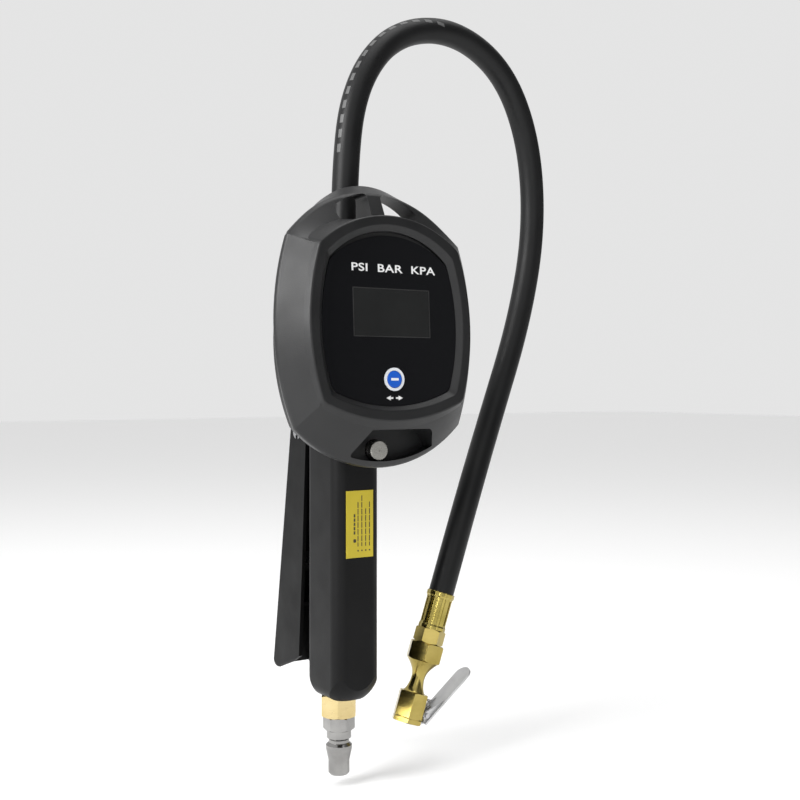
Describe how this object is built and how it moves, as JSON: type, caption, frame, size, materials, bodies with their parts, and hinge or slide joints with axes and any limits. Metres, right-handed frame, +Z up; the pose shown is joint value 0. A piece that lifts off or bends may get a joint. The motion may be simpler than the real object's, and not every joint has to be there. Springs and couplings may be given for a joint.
{
  "type": "tyre inflator with gauge",
  "caption": "Hand-held tyre inflator: digital gauge head on a grip with squeeze lever, air inlet plug, looped hose and clip-on chuck.",
  "frame": {"origin": "on the handle's axis, at the lower end of the inlet plug's cylindrical land", "axes": "+Z up the handle, the gauge faces -Y, +X to the right of a person reading the gauge"},
  "size_m": [0.1973, 0.106, 0.3959],
  "materials": {
    "housing_plastic": "satin, finely textured",
    "face_gloss": "gloss",
    "lcd_glass": "clear window over a grey display",
    "lcd_grey": "satin",
    "gasket_rubber": "matt",
    "ring_white": "satin",
    "button_blue": "satin",
    "board_green": "solder mask",
    "component_black": "satin",
    "steel": "zinc plated",
    "nickel": "nickel plated",
    "brass": "turned",
    "handle_nylon": "glass-filled nylon, semi-matt",
    "lever_nylon": "glass-filled nylon, semi-matt",
    "label_yellow": "printed film",
    "hose_rubber": "satin",
    "cell_jacket": "printed film",
    "sintered_bronze": "sintered"
  },
  "bodies": {
    "frame": {"front_shell": "housing_plastic", "face_plate": "face_gloss", "lcd_window": "lcd_glass", "face_gasket": "gasket_rubber", "button_ring": "ring_white", "tact_switch": "component_black", "lcd_module": "lcd_grey", "circuit_board": "board_green", "board_components": "component_black", "board_screws": "steel", "rear_housing": "housing_plastic", "housing_screws": "steel", "battery_cover": "housing_plastic", "battery_holder": "component_black", "batteries": "cell_jacket", "battery_contacts": "steel", "handle_body": "handle_nylon", "valve_seat": "brass", "valve_guide_nut": "brass", "stem_seal": "gasket_rubber", "valve_spring": "steel", "lever_pin": "steel", "pin_clips": "steel", "label": "label_yellow", "inlet_adapter": "nickel", "inlet_filter": "sintered_bronze", "quick_plug": "nickel", "bleed_bush": "brass", "bleed_spring": "steel", "pressure_sensor": "steel", "sensor_ribbon": "component_black", "battery_leads": "component_black", "hose": "hose_rubber", "hose_gland": "brass", "gland_collar": "steel", "passage_plug": "steel", "hose_ferrule": "brass", "hose_tail": "brass", "chuck_body": "brass", "chuck_seal": "gasket_rubber", "poppet_spring": "steel", "clip_spring": "steel", "clip_pin": "steel"},
    "lever": {"lever": "lever_nylon"},
    "valve_stem": {"valve_stem": "steel", "valve_poppet": "gasket_rubber"},
    "bleed_button": {"bleed_button": "nickel", "bleed_seal": "gasket_rubber"},
    "unit_button": {"unit_button": "button_blue", "switch_plunger": "component_black"},
    "clip": {"clip_lever": "steel"},
    "chuck_poppet": {"chuck_poppet": "brass"}
  },
  "joints": [
    {"name": "lever_pivot", "type": "hinge", "parent": "frame", "child": "lever", "pos_m": [0, 0.022, 0.172], "axis": [-1, 0, 0], "range_deg": [0, 4], "stiffness_Nm_per_rad": 1.5, "springref_deg": -20.05},
    {"name": "valve_stem_slide", "type": "slide", "parent": "frame", "child": "valve_stem", "axis": [0, -1, 0], "range_m": [0, 0.005], "deforming": ["valve_spring"]},
    {"name": "bleed_button_slide", "type": "slide", "parent": "frame", "child": "bleed_button", "axis": [0, 1, 0], "range_m": [0, 0.003], "stiffness_N_per_m": 300, "springref_m": -0.005, "deforming": ["bleed_spring"]},
    {"name": "unit_button_slide", "type": "slide", "parent": "frame", "child": "unit_button", "axis": [0, 0.9986, -0.0523], "range_m": [0, 0.0005], "stiffness_N_per_m": 1000, "springref_m": -0.0005},
    {"name": "clip_pivot", "type": "hinge", "parent": "frame", "child": "clip", "pos_m": [0.04825, -0.004, 0.02249], "axis": [0, -1, 0], "range_deg": [0, 15], "stiffness_Nm_per_rad": 0.05, "springref_deg": -17.19, "deforming": ["clip_spring"]},
    {"name": "chuck_poppet_slide", "type": "slide", "parent": "frame", "child": "chuck_poppet", "axis": [0.3256, 0, 0.9455], "range_m": [0, 0.0012], "stiffness_N_per_m": 300, "springref_m": -0.002, "deforming": ["poppet_spring"]}
  ],
  "couplings": [
    {"joint": "valve_stem_slide", "follows": "lever_pivot", "m_per_rad": 0.069}
  ]
}
